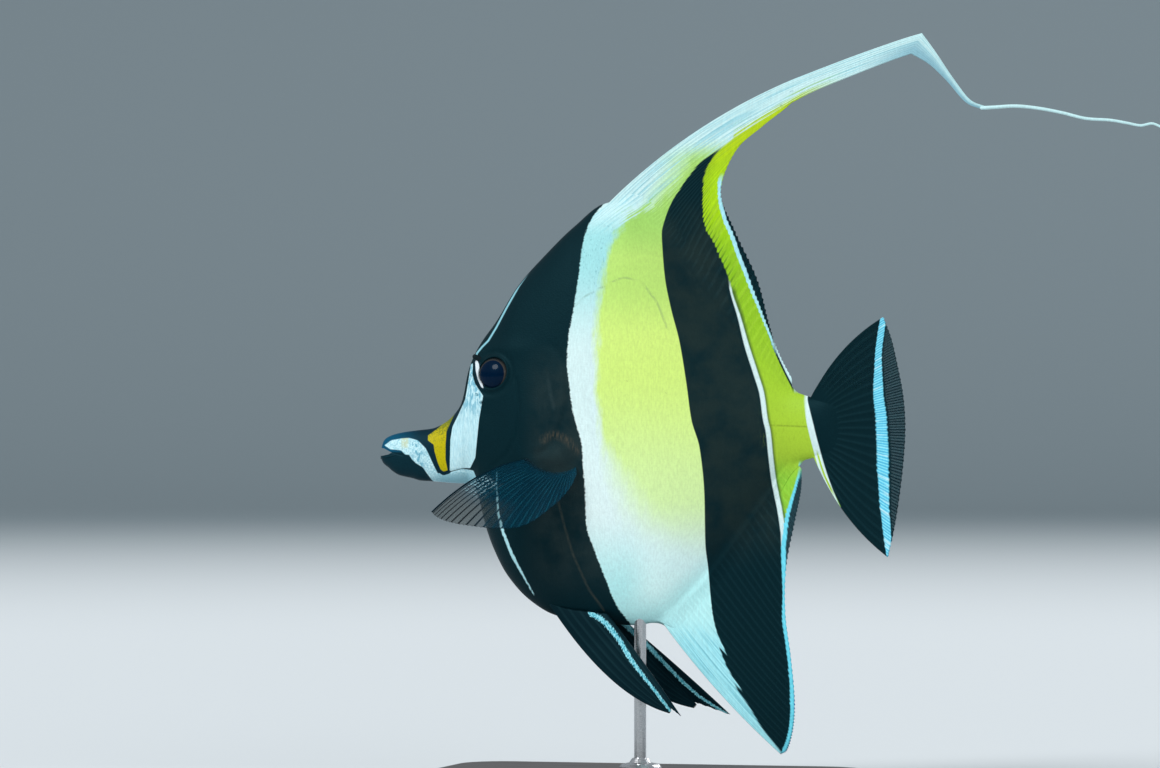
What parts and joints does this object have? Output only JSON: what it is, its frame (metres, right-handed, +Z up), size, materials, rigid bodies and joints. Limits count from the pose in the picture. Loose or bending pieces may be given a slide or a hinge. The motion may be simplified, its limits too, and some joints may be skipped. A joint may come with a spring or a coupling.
{
  "type": "moorish idol fish",
  "caption": "Life-size still model of a moorish idol: deep flat body, tube snout, banded skin, long trailing dorsal streamer, on a flat display stand with one rod.",
  "frame": {"origin": "centre of the underside of the stand's base, under the rod", "axes": "+X from the fish's head towards its tail, +Y to the fish's right side, +Z up"},
  "size_m": [0.2943, 0.082, 0.2506],
  "materials": {
    "skin_dark": "satin painted skin with fine scales",
    "skin_pale": "satin painted skin with fine scales",
    "skin_yellow": "satin painted skin with fine scales",
    "fin_dark": "ribbed membrane, satin",
    "fin_yellow": "ribbed membrane, satin",
    "fin_pale": "ribbed membrane, satin",
    "fin_dusky": "thin ribbed membrane, half clear",
    "eye_gloss": "polished",
    "stand_wood": "black satin lacquer",
    "stand_steel": "brushed"
  },
  "bodies": {
    "root": {"head": "skin_dark", "upper_jaw": "skin_pale", "lower_jaw": "skin_dark", "torso": "skin_yellow", "tail_stem": "skin_yellow", "gill_cover_left": "skin_dark", "gill_cover_right": "skin_dark", "eye_left": "eye_gloss", "eye_right": "eye_gloss", "brow_horn_left": "skin_dark", "brow_horn_right": "skin_dark", "dorsal_fin": "fin_yellow", "dorsal_streamer_1": "fin_pale", "dorsal_streamer_2": "fin_pale", "dorsal_streamer_3": "fin_pale", "dorsal_streamer_4": "fin_pale", "anal_fin": "fin_dark", "caudal_fin": "fin_dark", "pectoral_fin_left": "fin_dusky", "pectoral_fin_right": "fin_dusky", "pelvic_fin_left": "fin_dark", "pelvic_fin_right": "fin_dark", "stand_base": "stand_wood", "stand_rod": "stand_steel"}
  },
  "joints": []
}
